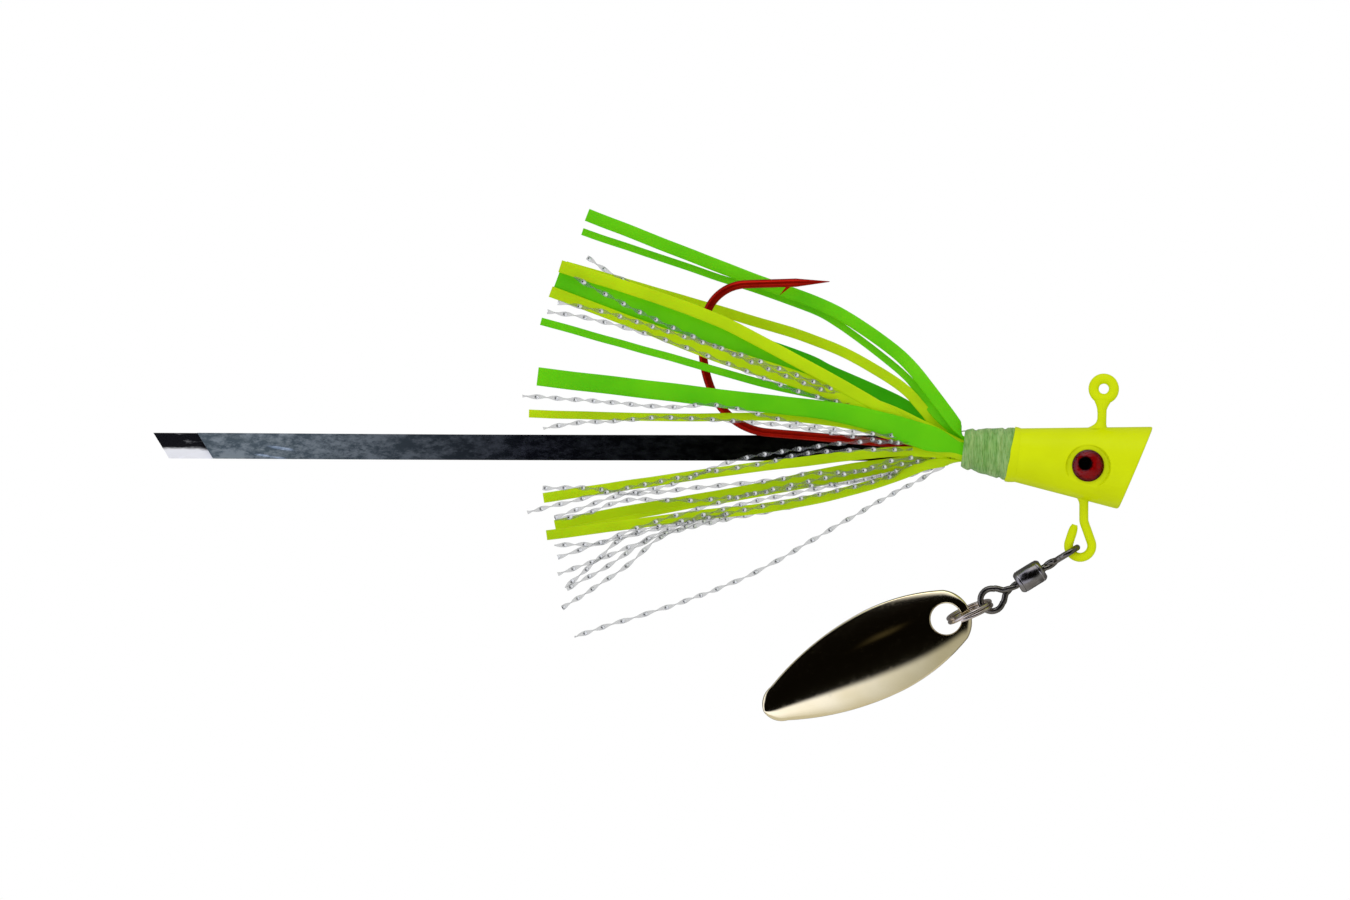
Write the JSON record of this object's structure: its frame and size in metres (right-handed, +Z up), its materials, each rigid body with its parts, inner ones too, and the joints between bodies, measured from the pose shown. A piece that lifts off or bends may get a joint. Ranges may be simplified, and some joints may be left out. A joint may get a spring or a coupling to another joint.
{
  "type": "jig spinner lure",
  "caption": "Skirted jig spinner: painted lead head on a jig hook, silicone and tinsel skirt with a film tail, and a willow blade on a barrel swivel under the head.",
  "frame": {"origin": "centre of the line tie's hole, where the lure hangs from its line", "axes": "+X to the nose, opposite to the way the skirt and tail stream, +Z up when it swims, +Y across the lure along the line tie's hole"},
  "size_m": [0.1249, 0.0229, 0.064],
  "materials": {
    "head_paint": "gloss",
    "hook_red": "gloss",
    "thread": "satin",
    "eye_foil": "gloss",
    "eye_lens": "gloss",
    "swivel_wire": "gloss",
    "swivel_barrel": "gloss",
    "ring_nickel": "gloss",
    "blade_gold": "polished",
    "skirt_green": "satin",
    "skirt_yellow": "satin",
    "tinsel": "gloss",
    "film": "polished"
  },
  "bodies": {
    "lure": {"blade_hanger": "head_paint", "eye_foil_far": "eye_foil", "eye_foil_near": "eye_foil", "eye_lens_far": "eye_lens", "eye_lens_near": "eye_lens", "film_long": "film", "film_short": "film", "head": "head_paint", "jig_hook": "hook_red", "strand_green_far_top": "skirt_green", "strand_green_mid": "skirt_green", "strand_green_near_top": "skirt_green", "strand_green_slim": "skirt_green", "strand_green_top": "skirt_green", "strand_green_wide": "skirt_green", "strand_yellow_far_low": "skirt_yellow", "strand_yellow_far_top": "skirt_yellow", "strand_yellow_high": "skirt_yellow", "strand_yellow_low": "skirt_yellow", "strand_yellow_lower": "skirt_yellow", "strand_yellow_lowest": "skirt_yellow", "strand_yellow_mid": "skirt_yellow", "strand_yellow_near_top": "skirt_yellow", "thread_tag": "thread", "thread_wrap": "thread", "tinsel_01": "tinsel", "tinsel_02": "tinsel", "tinsel_03": "tinsel", "tinsel_04": "tinsel", "tinsel_05": "tinsel", "tinsel_06": "tinsel", "tinsel_07": "tinsel", "tinsel_08": "tinsel", "tinsel_09": "tinsel", "tinsel_10": "tinsel", "tinsel_11": "tinsel", "tinsel_12": "tinsel", "tinsel_13": "tinsel", "tinsel_14": "tinsel", "tinsel_15": "tinsel", "tinsel_16": "tinsel", "tinsel_17": "tinsel"},
    "upper_eye": {"swivel_upper_eye": "swivel_wire"},
    "barrel": {"swivel_barrel": "swivel_barrel"},
    "lower_eye": {"swivel_lower_eye": "swivel_wire"},
    "ring": {"split_ring": "ring_nickel"},
    "blade": {"blade": "blade_gold"}
  },
  "joints": [
    {"name": "hanger_swing", "type": "hinge", "parent": "lure", "child": "upper_eye", "pos_m": [-0.00295, 0, -0.01961], "axis": [0, 1, 0], "range_deg": [-115, 10]},
    {"name": "barrel_spin", "type": "hinge", "parent": "upper_eye", "child": "barrel", "pos_m": [-0.00921, 0, -0.02345], "axis": [-0.8526, 0, -0.5225], "continuous": true},
    {"name": "lower_eye_spin", "type": "hinge", "parent": "barrel", "child": "lower_eye", "pos_m": [-0.00921, 0, -0.02345], "axis": [-0.8526, 0, -0.5225], "continuous": true},
    {"name": "ring_swing", "type": "hinge", "parent": "lower_eye", "child": "ring", "pos_m": [-0.01401, 0, -0.02639], "axis": [0, 1, 0], "range_deg": [-75, 15]},
    {"name": "blade_swing", "type": "hinge", "parent": "ring", "child": "blade", "pos_m": [-0.01935, 0, -0.02898], "axis": [0, 1, 0], "range_deg": [-60, 10]}
  ]
}
